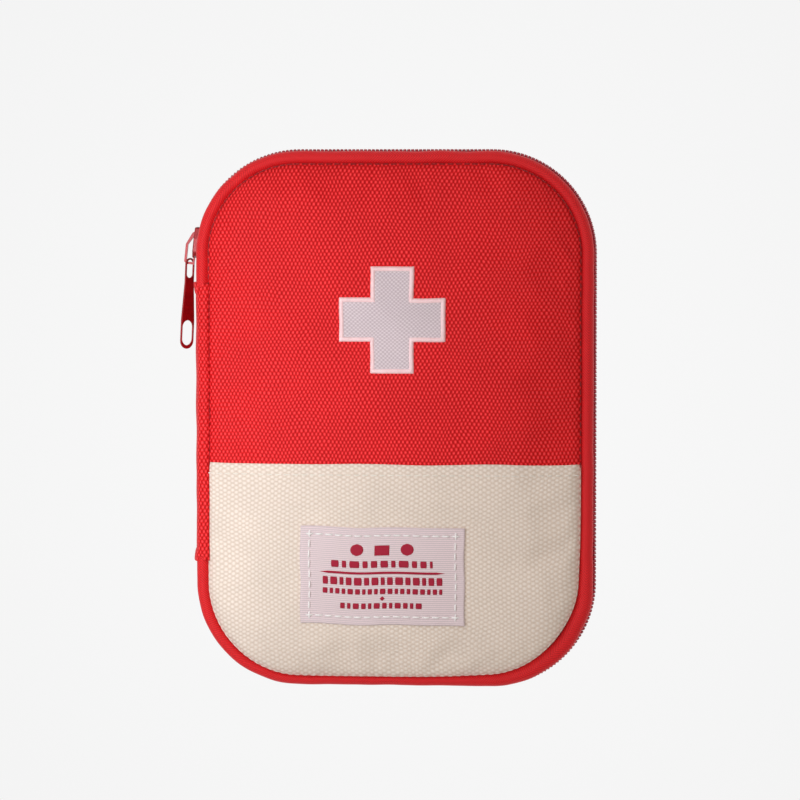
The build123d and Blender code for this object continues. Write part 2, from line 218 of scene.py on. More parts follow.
def outline(s):
    """Points and outward normals on the outside of the coils, s mm clockwise from the spine's middle."""
    s = np.atleast_1d(np.asarray(s, float))
    across, up = 2 * (HALF_W - CORNER_R), 2 * (HALF_H - CORNER_R)
    arc = math.pi * CORNER_R / 2
    points, normals = np.zeros((len(s), 2)), np.zeros((len(s), 2))
    at, heading, start = np.array([-HALF_W, 0.0]), math.pi / 2, 0.0
    for index, length in enumerate([up / 2, arc, across, arc, up, arc, across, arc, up / 2]):
        inside = (s >= start - 1e-6) & (s <= start + length + 1e-6)
        run = s[inside] - start
        outwards = heading + math.pi / 2
        if index % 2:
            centre = at - CORNER_R * np.array([math.cos(outwards), math.sin(outwards)])
            angle = outwards - run / CORNER_R
            normal = np.stack([np.cos(angle), np.sin(angle)], 1)
            points[inside] = centre + CORNER_R * normal
            normals[inside] = normal
            heading -= math.pi / 2
            outwards = heading + math.pi / 2
            at = centre + CORNER_R * np.array([math.cos(outwards), math.sin(outwards)])
        else:
            along = np.array([math.cos(heading), math.sin(heading)])
            points[inside] = at + run[:, None] * along
            normals[inside] = (math.cos(outwards), math.sin(outwards))
            at = at + length * along
        start += length
    return points, normals


PERIMETER = 4 * (HALF_W + HALF_H - 2 * CORNER_R) + TAU * CORNER_R
ZIP_START = SPINE_HALF_L + SPINE_SHIFT + ZIP_GAP
ZIP_END = PERIMETER - SPINE_HALF_L + SPINE_SHIFT - ZIP_GAP
SLIDER_S = HALF_H - CORNER_R + CORNER_R * math.radians(SLIDER_ANGLE)


def seam_distance(x, y, inset=SEAM_INSET):
    """How far inside the rounded outline at this inset a point is."""
    half = np.array([HALF_W - inset, HALF_H - inset])
    radius = CORNER_R - inset
    q = np.stack([np.abs(x) - (half[0] - radius), np.abs(y) - (half[1] - radius)])
    outside = np.hypot(np.maximum(q[0], 0), np.maximum(q[1], 0))
    return radius - outside - np.minimum(np.maximum(q[0], q[1]), 0)


def to_outline(x, y, inset):
    """Draws a rectangle's points in, so that its edge lies on the rounded outline."""
    a, b, r = HALF_W - inset, HALF_H - inset, CORNER_R - inset
    ax, ay = np.maximum(np.abs(x), 1e-6), np.maximum(np.abs(y), 1e-6)
    to_edge = np.minimum(a / ax, b / ay)
    cx, cy = a - r, b - r
    edge_x, edge_y = ax * to_edge, ay * to_edge
    dot, square = ax * cx + ay * cy, ax * ax + ay * ay
    root = np.sqrt(np.maximum(dot * dot - square * (cx * cx + cy * cy - r * r), 0))
    to_arc = (dot + root) / square
    k = np.where((edge_x > cx) & (edge_y > cy), to_arc / to_edge, 1.0)
    k = 1 - (1 - k) * np.minimum(1 / to_edge, 1) ** 4
    return x * k, y * k


def spread(low, high, count, dense_low=True, dense_high=True):
    """Values from low to high that crowd together at the ends that lie on a seam."""
    t = np.linspace(-1 if dense_low else 0, 1 if dense_high else 0, count)
    t = 0.5 * t + 0.5 * np.sin(t * math.pi / 2)
    t = (t - t[0]) / (t[-1] - t[0])
    return low + (high - low) * t


def wobble(x, y, scale, seed=0.0):
    """Smooth noise from about -1 to 1, the same on every run."""
    flat_x, flat_y = (np.ravel(values) for values in np.broadcast_arrays(x, y))
    values = [noise.noise(Vector((a / scale, b / scale, seed))) for a, b in zip(flat_x, flat_y)]
    return np.reshape(values, np.shape(x))


# ---- materials

MATERIALS = {}


def add_node(tree, kind, inputs=(), **settings):
    made = tree.nodes.new(kind)
    for key, value in settings.items():
        setattr(made, key, value)
    for key, value in dict(inputs).items():
        if isinstance(value, bpy.types.NodeSocket):
            tree.links.new(value, made.inputs[key])
        else:
            made.inputs[key].default_value = value
    return made


def maths(tree, operation, a, b=0.0, c=0.0):
    return add_node(tree, "ShaderNodeMath", {0: a, 1: b, 2: c}, operation=operation).outputs[0]


def vector_maths(tree, operation, inputs, output=0):
    return add_node(tree, "ShaderNodeVectorMath", inputs, operation=operation).outputs[output]


def cloudy(tree, at, scale, detail, output="Fac"):
    inputs = {"Vector": at, "Scale": scale, "Detail": detail}
    return add_node(tree, "ShaderNodeTexNoise", inputs).outputs[output]


def wave(tree, operation, value, period):
    return maths(tree, operation, maths(tree, "MULTIPLY", value, TAU / period))


def new_material(name, roughness=0.8, metallic=0.0, sheen=0.0, specular=0.5):
    material = bpy.data.materials.new(name)
    material.use_nodes = True
    MATERIALS[name] = material
    tree = material.node_tree
    shader = tree.nodes["Principled BSDF"]
    for key, value in (
        ("Roughness", roughness), ("Metallic", metallic), ("Sheen Weight", sheen), ("Sheen Roughness", 0.4),
        ("Specular IOR Level", specular),
    ):
        shader.inputs[key].default_value = value
    return tree, shader


def place(tree, uv):
    """Coordinates in millimetres: along the cloth with a UV map, or else the frame's own."""
    source = add_node(tree, "ShaderNodeTexCoord").outputs["UV" if uv else "Object"]
    if uv:
        return source
    return vector_maths(tree, "SCALE", {0: source, "Scale": 1 / MM})


def ramp(tree, value, stops):
    made = add_node(tree, "ShaderNodeValToRGB", {0: value})
    elements = made.color_ramp.elements
    for element, (position, colour) in zip(elements, (stops[0], stops[-1])):
        element.position, element.color = position, (*colour, 1)
    for position, colour in stops[1:-1]:
        elements.new(position).color = (*colour, 1)
    return made.outputs[0]


def shades(tree, value, colour, darker, brighter, places):
    """A ramp from a darker to a brighter tint of one colour."""
    tints = [tuple(min(1.0, max(0.0, c * factor)) for c in colour) for factor in (darker, 1, brighter)]
    return ramp(tree, value, list(zip(places, tints)))


def finish_material(tree, shader, colour, height, depth):
    tree.links.new(colour, shader.inputs["Base Color"])
    bump = add_node(tree, "ShaderNodeBump", {"Height": height, "Distance": depth * MM, "Strength": 1.0})
    tree.links.new(bump.outputs[0], shader.inputs["Normal"])


def woven(name, dark, colour, bright, pitch=WEAVE, depth=0.16, roughness=0.6, turned=False, lines=0.08):
    """Plain canvas: a lattice of raised threads with the next row moved on by half a thread. Its colours run
    from painted shade in the gaps between threads to a painted sheen highlight on the threads' tops.
    """
    tree, shader = new_material(name, roughness, sheen=0.05, specular=0.15)
    at = place(tree, True)
    drift = cloudy(tree, at, 0.07, 3.5, "Color")
    drift = vector_maths(tree, "SUBTRACT", {0: drift, 1: (0.5, 0.5, 0.5)})
    drift = vector_maths(tree, "SCALE", {0: drift, "Scale": 2.6})
    moved = vector_maths(tree, "ADD", {0: at, 1: drift})
    split = add_node(tree, "ShaderNodeSeparateXYZ", {0: moved})
    close, wide = (1, 0) if turned else (0, 1)
    across = wave(tree, "COSINE", split.outputs[close], pitch[0])
    along = wave(tree, "COSINE", split.outputs[wide], 2 * pitch[1])
    rows = wave(tree, "COSINE", split.outputs[wide], pitch[1])
    lattice = maths(tree, "MULTIPLY_ADD", maths(tree, "MULTIPLY", across, along), 0.5, 0.5)
    lattice = maths(tree, "MULTIPLY_ADD", rows, lines, lattice)
    fibres = cloudy(tree, at, 2.6, 4.0)
    mixed = maths(tree, "MULTIPLY_ADD", fibres, 0.4, maths(tree, "MULTIPLY_ADD", lattice, 0.85, -0.12))
    # the ramp paints shade into the gaps between threads (dark) and a whitish sheen highlight onto their
    # tops (bright)
    thread = ramp(tree, mixed, [(0.18, dark), (0.5, colour), (0.85, bright)])
    cloud = cloudy(tree, at, 0.05, 3.0)
    shade = ramp(tree, cloud, [(0.3, (0.92, 0.92, 0.92)), (0.7, (1.0, 1.0, 1.0))])
    sides = {0: 1.0, 6: thread, 7: shade}
    shaded = add_node(tree, "ShaderNodeMix", sides, data_type="RGBA", blend_type="MULTIPLY")
    finish_material(tree, shader, shaded.outputs[2], mixed, depth)


def twill(name, colour):
    """Zip tape: fine slanting ribs that turn back on themselves like herringbone."""
    tree, shader = new_material(name, roughness=0.6, sheen=0.05, specular=0.25)
    at = place(tree, True)
    split = add_node(tree, "ShaderNodeSeparateXYZ", {0: at})
    folded = maths(tree, "PINGPONG", split.outputs[1], 2.2)
    slant = maths(tree, "ADD", split.outputs[0], folded)
    ribs = maths(tree, "MULTIPLY_ADD", wave(tree, "SINE", slant, 0.9), 0.5, 0.5)
    fibres = cloudy(tree, at, 2.0, 4.0)
    mixed = maths(tree, "MULTIPLY_ADD", fibres, 0.7, maths(tree, "MULTIPLY_ADD", ribs, 0.6, -0.15))
    finish_material(tree, shader, shades(tree, mixed, colour, 0.65, 1.2, (0.1, 0.55, 1.0)), mixed, 0.08)


def ribbed(name, colour, pitch=0.9, along_u=True, contrast=0.4, depth=0.15, uv=True):
    """Ribbed tape or elastic: straight ribs across the strip."""
    tree, shader = new_material(name, roughness=0.75, sheen=0.2, specular=0.3)
    at = place(tree, uv)
    split = add_node(tree, "ShaderNodeSeparateXYZ", {0: at})
    ribs = wave(tree, "SINE", split.outputs[0 if along_u else 1], pitch)
    fibres = cloudy(tree, at, 2.4, 4.0)
    mixed = maths(tree, "MULTIPLY_ADD", fibres, 0.5, maths(tree, "MULTIPLY_ADD", ribs, 0.35, 0.3))
    colour_out = shades(tree, mixed, colour, 1 - contrast, 1.25, (0.1, 0.6, 1.0))
    finish_material(tree, shader, colour_out, mixed, depth)


def speckled(name, colour, roughness=0.5, scale=1.2, contrast=0.2, depth=0.05, metallic=0.0, specular=0.5,
             sheen=0.0):
    """Paint, plastic, thread, paper or metal: its colour with fine marks and worn spots."""
    tree, shader = new_material(name, roughness, metallic, sheen, specular)
    at = place(tree, False)
    fine = cloudy(tree, at, scale, 5.0)
    broad = cloudy(tree, at, scale * 0.12, 2.0)
    both = maths(tree, "MULTIPLY_ADD", broad, 0.5, maths(tree, "MULTIPLY", fine, 0.5))
    colour_out = shades(tree, both, colour, 1 - contrast, 1 + contrast, (0.3, 0.5, 0.7))
    finish_material(tree, shader, colour_out, fine, depth)
    rough = maths(tree, "MULTIPLY_ADD", broad, 0.25, roughness - 0.12)
    tree.links.new(rough, shader.inputs["Roughness"])


def fabrics():
    # each canvas's first colour is painted shade between the threads and its last a painted sheen on their
    # tops
    woven("red_canvas", (0.43, 0.0015, 0.002), (0.76, 0.008, 0.011), (1.0, 0.055, 0.060))
    woven("cream_canvas", (0.72, 0.575, 0.47), (0.84, 0.69, 0.585), (0.93, 0.81, 0.72), pitch=(1.56, 1.34),
          turned=True, lines=0.16)
    twill("zip_tape", (0.74, 0.012, 0.016))
    ribbed("binding", (0.30, 0.010, 0.015))
    woven("lining", (0.22, 0.006, 0.010), (0.33, 0.012, 0.018), (0.44, 0.024, 0.030), pitch=(0.7, 0.6),
          depth=0.04, roughness=0.45)
    woven("patch", (0.56, 0.44, 0.47), (0.67, 0.55, 0.58), (0.79, 0.68, 0.70), pitch=(1.5, 0.65), depth=0.06)
    ribbed("label", (0.72, 0.58, 0.59), pitch=0.67, along_u=False, contrast=0.14, depth=0.04)
    ribbed("label_mark", (0.40, 0.010, 0.035), pitch=0.5, along_u=False, contrast=0.3, depth=0.05)
    ribbed("elastic", (0.035, 0.035, 0.04), pitch=1.2, along_u=False, uv=False)
    woven("gauze", (0.58, 0.56, 0.50), (0.82, 0.80, 0.74), (0.92, 0.90, 0.85), pitch=(0.9, 0.8), depth=0.2)
    ribbed("cloth_tape", (0.86, 0.82, 0.72), pitch=0.45, along_u=False, contrast=0.2, uv=False)


def threads_and_plastics():
    speckled("coil", (0.42, 0.012, 0.03), specular=0.3)
    for name, colour, contrast, sheen in (
        # the red seam thread is darkened past its own colour: painted shade of the furrow along the seam
        ("thread_red", (0.26, 0.005, 0.008), 0.2, 0.3),
        ("thread_cream", (0.86, 0.78, 0.69), 0.12, 0.3),
        ("thread_white", (0.96, 0.90, 0.88), 0.08, 0.0),
    ):
        speckled(name, colour, 0.6, scale=3.0, contrast=contrast, sheen=sheen)
    speckled("patch_border", (1.0, 0.68, 0.69), 0.45, scale=3.0, contrast=0.12, sheen=0.4)
    speckled("red_metal", (0.30, 0.004, 0.007), 0.3, scale=0.6, contrast=0.25, metallic=0.2, depth=0.02)
    speckled("mesh", (0.05, 0.05, 0.055), 0.7, scale=3.0)
    speckled("core", (0.75, 0.78, 0.82), 0.35, contrast=0.08)
    speckled("steel", (0.62, 0.63, 0.65), 0.3, scale=2.5, metallic=1.0, contrast=0.12)
    speckled("sachet", (0.72, 0.80, 0.88), 0.3, scale=0.5, contrast=0.08, depth=0.3)
    speckled("sachet_mark", (0.06, 0.22, 0.42), 0.35)
    speckled("paper", (0.88, 0.88, 0.85), 0.8, scale=0.9, contrast=0.05, depth=0.15)
    speckled("paper_mark", (0.10, 0.36, 0.30), 0.6)
    speckled("plaster_paper", (0.90, 0.86, 0.78), 0.7, scale=0.9, contrast=0.05, depth=0.12)
    speckled("plaster_mark", (0.62, 0.30, 0.16), 0.6)


fabrics()
threads_and_plastics()


# ---- padded panels

def panel_rows():
    below = spread(-(HALF_H - SEAM_INSET), SPLIT_Y, 40, dense_high=False)
    above = spread(SPLIT_Y, HALF_H - SEAM_INSET, 56, dense_low=False)
    return np.concatenate([below, above[1:]]), len(below) - 1


def panel_height(x, y):
    """The padded panel's height over its seam plane."""
    inwards = np.clip(seam_distance(x, y), 0, None)
    rise = CROWN * (1 - np.clip(1 - inwards / ROLLED_W, 0, 1) ** 3) - CREASE * np.exp(-inwards / CREASE_W)
    a, b = HALF_W - SEAM_INSET, HALF_H - SEAM_INSET
    return rise + DOME * np.clip(1 - (x / a) ** 2, 0, 1) * np.clip(1 - (y / b) ** 2, 0, 1)


def swell(points, faces, pinned):
    """Cloth simulation: the panel, held at its seam, swells under the padding by no more than the cap."""
    temporary = piece("swelling", points, faces, "red_canvas", None)
    group = temporary.vertex_groups.new(name="seam")
    for index in np.flatnonzero(pinned > 0):
        group.add([int(index)], float(pinned[index]), "REPLACE")
    cloth = temporary.modifiers.new("Cloth", "CLOTH")
    settings = cloth.settings
    settings.quality = 6
    settings.mass = 0.12
    settings.tension_stiffness = settings.compression_stiffness = 12
    settings.shear_stiffness = 4
    settings.bending_stiffness = 0.4
    settings.shrink_min = -0.012
    settings.use_pressure = True
    settings.uniform_pressure_force = SWELL_PUSH
    settings.vertex_group_mass = "seam"
    settings.effector_weights.gravity = 0
    scene = bpy.context.scene
    for number in range(1, 21):
        scene.frame_set(number)
    evaluated = temporary.evaluated_get(bpy.context.evaluated_depsgraph_get())
    moved = np.array([v.co for v in evaluated.data.vertices]) / MM
    scene.frame_set(1)
    bpy.data.objects.remove(temporary)
    step = moved - points
    length = np.linalg.norm(step, axis=1, keepdims=True)
    return points + step * np.minimum(1, SWELL_CAP / np.maximum(length, 1e-6))


def panel_surface():
    """The swollen canvas over the padding, as a grid of points on the front, and the row of its split."""
    rows, split = panel_rows()
    columns = spread(-(HALF_W - SEAM_INSET), HALF_W - SEAM_INSET, 72)
    y, x = crossed(rows, columns)
    x, y = to_outline(x, y, SEAM_INSET)
    z = FRONT_SEAM_Z + panel_height(x, y)
    points = np.stack([x, y, z], -1)
    inwards = seam_distance(x, y)
    pinned = np.clip(1 - inwards.ravel() / 2.0, 0, 1)
    swollen = swell(points.reshape(-1, 3), grid_faces(*x.shape), pinned)
    points = swollen.reshape(points.shape)
    pucker = wobble(x, y, 5.0) * np.exp(-np.clip(inwards, 0, None) / 5.0) * 0.28
    slack = wobble(x, y, 26.0, 3.0) * 0.35 + wobble(x, y, 11.0, 5.0) * 0.1
    points[..., 2] += pucker * np.clip(inwards, 0, 1) + slack * np.clip(inwards / 6.0, 0, 1)
    return strayed(points), split


def seam_drift(x, y):
    """The front seam isn't sewn quite true: how far inwards it strays, round the pouch."""
    angle = np.degrees(np.arctan2(y, x))
    cut_corner = 1.9 * np.exp(-((angle + 52) / 13) ** 2)
    low_bottom = 1.1 * np.exp(-((angle + 96) / 24) ** 4)
    return cut_corner - low_bottom


def strayed(points):
    """Moves the panel's sewn edge, and less and less of it further in, by the seam's drift."""
    x, y = points[..., 0], points[..., 1]
    share = np.clip(1 - seam_distance(x, y) / 14.0, 0, 1) ** 2
    k = 1 - seam_drift(x, y) * share / np.maximum(np.hypot(x, y), 1.0)
    return np.concatenate([points[..., :2] * k[..., None], points[..., 2:]], -1)


def lowered(edge):
    """A row of points under a panel's sewn edge, down in the seam."""
    turned = edge.copy()
    reach = np.linalg.norm(turned[..., :2], axis=-1, keepdims=True)
    turned[..., :2] *= 1 - 0.25 / reach
    turned[..., 2] = np.minimum(turned[..., 2], FRONT_SEAM_Z - CREASE) - SKIRT_DROP
    return turned


def with_skirt(points, first, last):
    """Turns the panel's sewn edges down into the seam. First and last say which end rows are sewn."""
    if first:
        points = np.concatenate([lowered(points[:1]), points])
    if last:
        points = np.concatenate([points, lowered(points[-1:])])
    return np.concatenate([lowered(points[:, :1]), points, lowered(points[:, -1:])], axis=1)


def panel_piece(name, points, material, body, mirrored=False):
    points = points.copy()
    if mirrored:
        points[..., 2] = np.maximum(2 * MID_Z - points[..., 2], 0.02)
    made = grid_piece(name, points, material, body, points[..., :2], flip=mirrored)
    add_subdivision(made)
    return made


def folded_edge(points):
    """The cream canvas lies over the red one, and its top edge is turned under."""
    over = points.copy()
    fade = np.clip(seam_distance(over[..., 0], over[..., 1]) / 3.0, 0, 1)
    over[..., 2] += 0.12 + 0.55 * fade
    edge = over[-1:]
    turned = []
    for forward, down in ((0.42, 0.12), (0.55, 0.34), (0.40, 0.58), (-1.2, 0.66)):
        row = edge.copy()
        row[..., 1] += forward
        row[..., 2] -= down
        turned.append(row)
    return np.concatenate([over, *turned])


def front_panels():
    surface, split = panel_surface()
    wave_y = wobble(surface[split, :, 0], 0.0, 22.0, 9.0) * 0.35
    bent = surface.copy()
    reach = np.clip(1 - np.abs(bent[..., 1] - SPLIT_Y) / 12.0, 0, 1)
    bent[..., 1] += wave_y[None, :] * reach
    red = panel_piece("canvas_red", with_skirt(bent[split - 2:], False, True), "red_canvas", "cover")
    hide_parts("front_panel_upper", "front_padding")
    over = with_skirt(folded_edge(bent[: split + 1]), True, False)
    cream = panel_piece("canvas_cream", over, "cream_canvas", "cover")
    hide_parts("front_panel_lower")
    return surface, red, cream


def back_panel(surface):
    flat = surface.copy()
    flat[..., 2] = np.minimum(flat[..., 2], 2 * MID_Z)
    made = panel_piece("canvas_back", with_skirt(flat, True, True), "red_canvas", "back", mirrored=True)
    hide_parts("back_panel", "back_padding")


class Ground:
    """Heights of the cover's canvas, found from straight above."""

    def __init__(self, *objects):
        graph = bpy.context.evaluated_depsgraph_get()
        points, faces = [], []
        for made in objects:
            mesh = made.evaluated_get(graph).to_mesh()
            start = len(points)
            points += [tuple(v.co / MM) for v in mesh.vertices]
            faces += [tuple(start + i for i in p.vertices) for p in mesh.polygons]
            made.evaluated_get(graph).to_mesh_clear()
        self.tree = BVHTree.FromPolygons(points, faces)

    def height(self, x, y):
        hit = self.tree.ray_cast(Vector((x, y, 100.0)), Vector((0, 0, -1)))[0]
        return hit.z if hit else FRONT_SEAM_Z

    def lay(self, xy, lift):
        xy = np.asarray(xy, float)
        z = [self.height(x, y) for x, y in xy.reshape(-1, 2)]
        return np.concatenate([xy, (np.reshape(z, xy.shape[:-1]) + lift)[..., None]], -1)


# ---- thread

def thread_mesh(name, places, size, material, body):
    """Stitches: short threads that come up out of the cloth and go down again."""
    length, width, height = size
    around, steps = 6, 5
    arc = np.array([-0.8, 0.55, 0.9, 0.55, -0.8])
    points, faces = [], []
    for centre, along, up in places:
        centre, along, up = (np.asarray(v, float) for v in (centre, along, up))
        side = np.cross(up, along)
        start = len(points)
        for step in range(steps):
            middle = centre + along * (step / (steps - 1) - 0.5) * length + up * arc[step] * height
            for turn in range(around):
                angle = TAU * turn / around
                sideways = side * math.cos(angle) * width / 2
                points.append(middle + sideways + up * math.sin(angle) * height / 2)
        faces += (grid_faces(steps, around, loop_columns=True) + start).tolist()
        faces.append(list(range(start, start + around))[::-1])
        faces.append(list(range(start + (steps - 1) * around, start + steps * around)))
    made = piece(name, points, faces, material, body)
    return made


def seam_stitches(ground):
    """Stitches close to the panels' seams, all the way round: cream on cream, and on the red canvas a red
    thread made darker than its own colour to paint the shade of the seam's furrow.
    """
    count = int(PERIMETER / SEAM_STITCH_PITCH)
    s = (np.arange(count) + 0.5) * PERIMETER / count
    points, normals = outline(s)
    inset = SEAM_INSET + SEAM_STITCH_INSET + seam_drift(points[:, 0], points[:, 1])
    inner = points - normals * inset[:, None]
    red, cream, back = [], [], []
    for (x, y), (nx, ny) in zip(inner, normals):
        z = ground.height(x, y)
        along = (-ny, nx, 0)
        front = red if y > SPLIT_Y else cream
        front.append(((x, y, z), along, Vector((nx * 0.6, ny * 0.6, 0.8))))
        back.append(((x, y, 2 * MID_Z - z), along, Vector((nx * 0.6, ny * 0.6, -0.8))))
    for name, places, thread, body in (
        ("seam_thread_red", red, "thread_red", "cover"),
        ("seam_thread_cream", cream, "thread_cream", "cover"),
        ("seam_thread_back", back, "thread_red", "back"),
    ):
        thread_mesh(name, places, SEAM_STITCH, thread, body)


# ---- zip

def swept(name, s, profile, material, body, closed=False, flip=False):
    """A strip along the outline. The profile gives (inset, z) points for each place s."""
    middle, normals = outline(s)
    shape = np.array([profile(value) for value in s])
    xy = middle[:, None, :] - normals[:, None, :] * shape[..., :1]
    points = np.concatenate([xy, shape[..., 1:]], -1)
    steps = np.hypot(*np.moveaxis(np.diff(shape, axis=1), -1, 0))
    run = np.concatenate([np.zeros((len(s), 1)), np.cumsum(steps, 1)], 1)
    uv = np.stack([np.repeat(s[:, None], shape.shape[1], 1), run], -1)
    return grid_piece(name, points, material, body, uv, flip, closed)


# A tape from under its panel, over its rounded edge and down to the coil: (inset, height over the middle).
TAPE_PROFILE = (
    (5.5, 7.1), (5.0, 7.6), (4.4, 8.75), (3.3, 9.6), (2.1, 9.4), (1.1, 8.4),
    (0.7, 7.1), (0.85, 5.9), (1.5, 4.9), (2.1, 4.1), (2.2, 2.8), (2.2, 0.6),
)
HALVES = (("cover", "front", 1), ("back", "back", -1))    # body, name of its nodes, and which way is out


def tape_profile(s, side):
    shape = np.array(TAPE_PROFILE)
    place_x, place_y = outline(s)[0][0]
    shape[:4, 0] += seam_drift(place_x, place_y) * np.array([1.0, 1.0, 0.9, 0.45])
    shape[1:8, 0] += 0.3 * noise.noise(Vector((s / 9.0, side * 5.0, 0)))
    shape[2:6, 1] += 0.22 * noise.noise(Vector((s / 7.0, side * 9.0, 2)))
    if side > 0 and abs(s - SLIDER_S) < NOTCH_HALF_L:
        shape[:, 1] = np.maximum(shape[:, 1], NOTCH_Z)
    shape[:, 1] = MID_Z + side * shape[:, 1]
    return shape


def zip_tapes():
    start, end = ZIP_START - TAPE_TUCK, ZIP_END + TAPE_TUCK
    even = np.linspace(start, end, int((end - start) / TAPE_STEP))
    edges = [SLIDER_S - NOTCH_HALF_L, SLIDER_S + NOTCH_HALF_L]
    stations = np.sort(np.concatenate([even, edges, [edges[0] - 0.05, edges[1] + 0.05]]))
    for body, half, side in HALVES:
        made = swept(f"tape_{body}", stations, lambda s, side=side: tape_profile(s, side), "zip_tape", body,
                     flip=side > 0)
        add_thickness(made, TAPE_SHOWN_T)
        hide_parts(f"{half}_zip_tape")


def coil_loop(base, normal, along, side):
    """One loop of the coil: a ring of rings."""
    around, wire = 12, 6
    wide, high = COIL_RADII
    points = []
    for turn in TAU * np.arange(around) / around:
        inset, rise = 1.05 + wide * math.cos(turn), 1.3 + high * math.sin(turn)
        centre = base - normal * inset + along * 0.16 * math.cos(turn)
        outward = np.array([wide * math.cos(turn), high * math.sin(turn)])
        outward /= np.linalg.norm(outward)
        for angle in TAU * np.arange(wire) / wire:
            spin = COIL_WIRE_R * math.cos(angle)
            xy = centre - normal * outward[0] * spin + along * COIL_WIRE_R * math.sin(angle)
            points.append((xy[0], xy[1], MID_Z + side * (rise + outward[1] * spin)))
    return points, grid_faces(around, wire, True, True, flip=side > 0)


def zip_coils():
    """The nylon coil: one loop after another, and the two rows' loops lie between each other."""
    count = int((ZIP_END - ZIP_START) / COIL_PITCH) - 1
    for body, half, side in HALVES:
        shift = 0.5 if side > 0 else 0.0
        s = ZIP_START + (np.arange(count) + 0.5 + shift) * COIL_PITCH
        if side > 0:
            s = s[np.abs(s - SLIDER_S) > NOTCH_HALF_L + 0.4]
        points, faces = [], []
        for base, normal in zip(*outline(s)):
            loop, loop_faces = coil_loop(base, normal, np.array([normal[1], -normal[0]]), side)
            faces += (loop_faces + len(points)).tolist()
            points += loop
        made = piece(f"coil_{body}", points, faces, "coil", body)
        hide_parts(f"{half}_zip_coil")


def bindings():
    """Ribbed tape over the raw edges inside both seams."""
    inset = LINING_INSET + 0.2
    s = np.linspace(0, PERIMETER, 400)[:-1]
    for body, half, side in HALVES:
        edge = CEILING_Z if side > 0 else FLOOR_Z
        shape = [(inset + out, edge - side * down) for out, down in (
            (0.1, 0.0), (0.0, 2.5), (0.3, 4.7), (0.8, 4.7), (1.0, 2.5), (1.6, 0.1),
        )]
        made = swept(f"binding_{body}", s, lambda _, shape=shape: shape, "binding", body, True, side < 0)
        add_thickness(made, 0.25, offset=0)
        add_subdivision(made)
        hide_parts(f"{half}_seam_binding")


def restyle(node, material, bevel):
    """A CAD piece that is shown as it is, with its material and softened edges."""
    made = frame["nodes"][node]
    made.data.materials.clear()
    made.data.materials.append(MATERIALS[material])
    add_bevel(made, bevel)


# ---- spine

def spine_profile(depth):
    """The spine's bulge from the back seam to the front one, at this depth under its outer face."""
    t = np.sin(np.linspace(-1, 1, 27) * math.pi / 2)
    z = MID_Z + t * (FRONT_SEAM_Z - MID_Z - 0.5)
    bulge = (SEAM_INSET - 0.35) * (1 - t ** 2) ** 0.32
    x = -(HALF_W - SEAM_INSET) - bulge + depth
    x[[0, -1]] += 0.7
    return x, z


def spine():
    """The canvas strip between the zip's ends, folded over at each end, with its lining."""
    rows = np.linspace(-SPINE_HALF_L, SPINE_HALF_L, 61) + SPINE_SHIFT
    for name, depth, thickness, node, material in (
        ("spine_canvas", 0.0, SPINE_T, "spine_panel", "red_canvas"),
        ("spine_inner", SPINE_INNER_DEPTH, SPINE_INNER_T, "spine_lining", "lining"),
    ):
        x, z = spine_profile(depth)
        grid = np.zeros((len(rows), len(x), 3))
        grid[..., 0], grid[..., 2], grid[..., 1] = x, z, rows[:, None]
        grid[..., 0] += 0.25 * wobble(grid[..., 1], grid[..., 2], 9.0, 11.0)
        run = np.concatenate([[0], np.cumsum(np.hypot(np.diff(x), np.diff(z)))])
        uv = np.stack([np.broadcast_to(run, grid.shape[:2]), grid[..., 1]], -1)
        made = grid_piece(name, grid, material, None, uv)
        add_thickness(made, thickness, offset=1)
        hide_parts(node)
        fold_over_hinge(made)
    spine_folds()


def fold_over_hinge(made):
    """Bakes the piece's placement into its points; the spine stays where it is made, on no body."""
    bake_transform(made)


def spine_folds():
    """The doubled canvas at each end of the spine, over the ends of the zip."""
    x, z = (values[2:-2] for values in spine_profile(-0.45))
    for name, sign in (("spine_fold_top", 1), ("spine_fold_bottom", -1)):
        end = sign * (SPINE_HALF_L + 0.5) + SPINE_SHIFT
        grid = np.array([
            np.stack([x - lift, np.full_like(x, end - sign * back), z], 1)
            for back, lift in ((4.6, -0.25), (4.2, 0.4), (2.0, 0.7), (0.3, 0.9), (0.0, 0.6), (0.1, -0.9))
        ])
        grid[..., 1] += 0.25 * wobble(grid[..., 2], 0.0, 5.0, 21.0 + sign)
        made = grid_piece(name, grid, "red_canvas", None, grid[..., [2, 1]], flip=sign < 0)
        add_thickness(made, 0.3)
        add_subdivision(made)
        if sign > 0:
            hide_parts("spine_end_folds")
        fold_over_hinge(made)


# ---- patches

def rounded_path(corners, radius, step):
    """Points along a closed path of straight edges with rounded corners."""
    points = []
    count = len(corners)
    for index in range(count):
        before, at, after = (np.array(corners[(index + k) % count], float) for k in (-1, 0, 1))
        start = at + (before - at) / np.linalg.norm(before - at) * radius
        end = at + (after - at) / np.linalg.norm(after - at) * radius
        for t in np.linspace(0, 1, 7):
            points.append((1 - t) ** 2 * start + 2 * t * (1 - t) * at + t ** 2 * end)
    points = np.array(points + points[:1])
    lengths = np.concatenate([[0], np.cumsum(np.linalg.norm(np.diff(points, axis=0), axis=1))])
    even = np.linspace(0, lengths[-1], int(lengths[-1] / step))[:-1]
    return np.stack([np.interp(even, lengths, points[:, k]) for k in (0, 1)], 1), even


def cross_corners(size, arm, centre):
    h, a = size / 2, arm / 2
    corners = [
        (-a, h), (a, h), (a, a), (h, a), (h, -a), (a, -a),
        (a, -h), (-a, -h), (-a, -a), (-h, -a), (-h, a), (-a, a),
    ]
    return [(x + centre[0], y + centre[1]) for x, y in corners]


def uneven(xy):
    """Sewn things are never quite straight."""
    xy = np.array(xy, float)
    shift = [wobble(xy[..., 0], xy[..., 1], 9.0, seed) for seed in (31.0, 47.0)]
    return xy + np.stack(shift, -1) * 0.28


